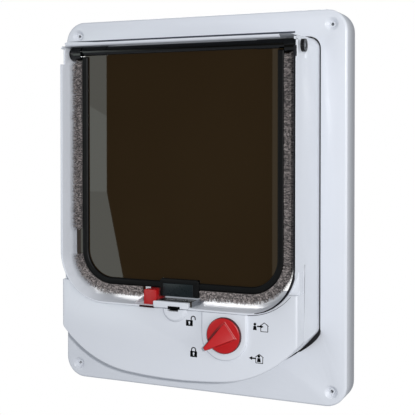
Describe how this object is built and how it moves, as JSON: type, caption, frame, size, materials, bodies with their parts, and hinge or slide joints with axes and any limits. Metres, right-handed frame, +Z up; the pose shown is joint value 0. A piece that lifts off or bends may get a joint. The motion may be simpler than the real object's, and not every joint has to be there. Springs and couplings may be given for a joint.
{
  "type": "cat flap",
  "caption": "Door-mounted cat flap: tinted swinging panel with pile seal in a hooded white housing, with a turn-knob lock and an electromagnet catch.",
  "frame": {"origin": "middle of the four screw holes, on the plane where the plate meets the door", "axes": "+X to the viewer's right, +Y into the door away from the viewer, +Z up"},
  "size_m": [0.236, 0.0909, 0.29],
  "materials": {
    "white_plastic": "satin moulded",
    "tinted_sheet": "polished, smoke brown",
    "black_plastic": "gloss",
    "red_plastic": "gloss",
    "grey_pile": "short nylon pile",
    "magnet": "satin",
    "polished_steel": "polished",
    "zinc_steel": "zinc plated",
    "spring_steel": "drawn wire",
    "bush_plastic": "matt",
    "acetal": "matt",
    "copper_wire": "enamelled",
    "ferrite": "matt",
    "circuit": "solder mask",
    "cell_wrap": "satin sleeve"
  },
  "bodies": {
    "frame": {"door_plate": "white_plastic", "flap_housing": "white_plastic", "fascia_cover": "white_plastic", "catch_cover": "white_plastic", "pole_plate": "polished_steel", "housing_screws": "zinc_steel", "pivot_bush_left": "bush_plastic", "pivot_bush_right": "bush_plastic", "solenoid_frame": "zinc_steel", "solenoid_bobbin": "acetal", "solenoid_coil": "copper_wire", "plunger_spring": "spring_steel", "battery_tray": "acetal", "battery_contacts": "zinc_steel", "circuit_board": "circuit", "ferrite_rod": "ferrite", "pickup_winding": "copper_wire", "battery_cell_1": "cell_wrap", "battery_cell_2": "cell_wrap", "battery_cell_3": "cell_wrap", "battery_cell_4": "cell_wrap"},
    "flap": {"hinge_bar": "black_plastic", "hinge_pin_left": "zinc_steel", "hinge_pin_right": "zinc_steel", "flap_panel": "tinted_sheet", "flap_bead_front": "black_plastic", "flap_bead_rear": "black_plastic", "pile_strip_left": "grey_pile", "pile_strip_right": "grey_pile", "pile_strip_lower_left": "grey_pile", "pile_strip_lower_right": "grey_pile", "magnet_holder": "black_plastic", "flap_magnet": "magnet"},
    "knob": {"control_knob": "red_plastic", "knob_screw": "zinc_steel", "scroll_cam": "acetal"},
    "front_slider": {"front_lock_slider": "red_plastic"},
    "rear_slider": {"rear_lock_slider": "red_plastic"},
    "plunger": {"plunger": "zinc_steel"}
  },
  "joints": [
    {"name": "flap_swing", "type": "hinge", "parent": "frame", "child": "flap", "pos_m": [0, -0.0535, 0.1162], "axis": [1, 0, 0], "range_deg": [-80, 80]},
    {"name": "knob_turn", "type": "hinge", "parent": "frame", "child": "knob", "pos_m": [0.0419, -0.065, -0.0883], "axis": [0, -1, 0], "range_deg": [-46.5, 166]},
    {"name": "front_hook_slide", "type": "slide", "parent": "frame", "child": "front_slider", "axis": [1, 0, 0], "range_m": [-0.0029, 0.00082]},
    {"name": "rear_hook_slide", "type": "slide", "parent": "frame", "child": "rear_slider", "axis": [1, 0, 0], "range_m": [-0.00082, 0.0029]},
    {"name": "plunger_slide", "type": "slide", "parent": "frame", "child": "plunger", "axis": [0, 0, 1], "range_m": [-0.005, 0], "stiffness_N_per_m": 60, "springref_m": 0.004, "deforming": ["plunger_spring"]}
  ],
  "couplings": [
    {"joint": "front_hook_slide", "follows": "knob_turn", "m_per_rad": -0.001},
    {"joint": "rear_hook_slide", "follows": "knob_turn", "m_per_rad": 0.001}
  ]
}
